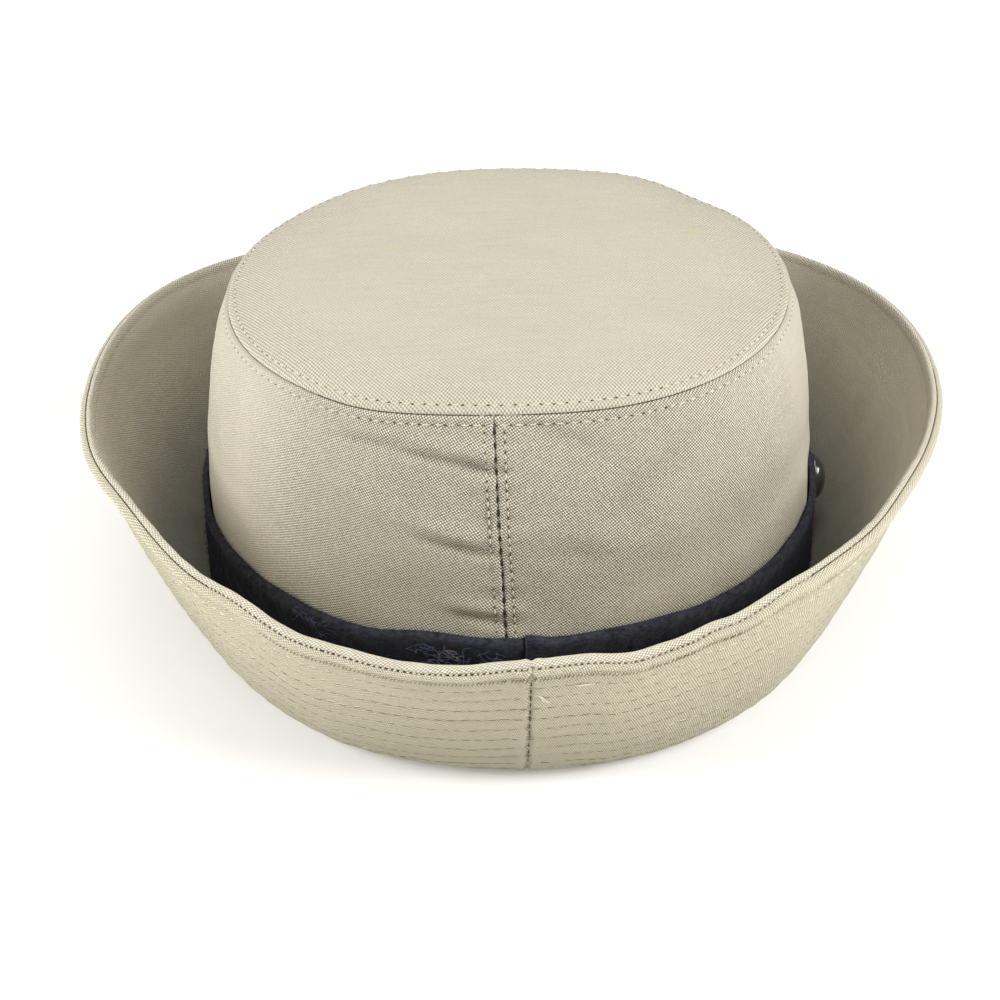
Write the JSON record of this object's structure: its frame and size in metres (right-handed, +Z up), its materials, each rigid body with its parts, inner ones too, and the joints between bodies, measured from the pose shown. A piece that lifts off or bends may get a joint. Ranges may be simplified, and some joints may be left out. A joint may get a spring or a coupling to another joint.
{
  "type": "uniform hat",
  "caption": "Soft khaki cotton uniform hat with a flat-topped crown, a navy felt band, a domed metal side button and a stitched brim turned up all round.",
  "frame": {"origin": "on the surface the hat stands on, under the middle of its bounding box", "axes": "+Y to the front of the hat, along the head; +X to the wearer's right, where the button is; +Z up through the crown"},
  "size_m": [0.2466, 0.2712, 0.0988],
  "materials": {
    "khaki_tip": "matt plain-woven cotton",
    "khaki_side": "matt plain-woven cotton",
    "navy_band": "matt fuzzy wool felt",
    "khaki_brim_upper": "matt plain-woven cotton",
    "khaki_brim_under": "matt plain-woven cotton with rows of stitching",
    "button_metal": "polished, slightly worn"
  },
  "bodies": {
    "root": {"crown_tip": "khaki_tip", "crown_side": "khaki_side", "hat_band": "navy_band", "brim_upper": "khaki_brim_upper", "brim_under": "khaki_brim_under", "side_button": "button_metal"}
  },
  "joints": []
}
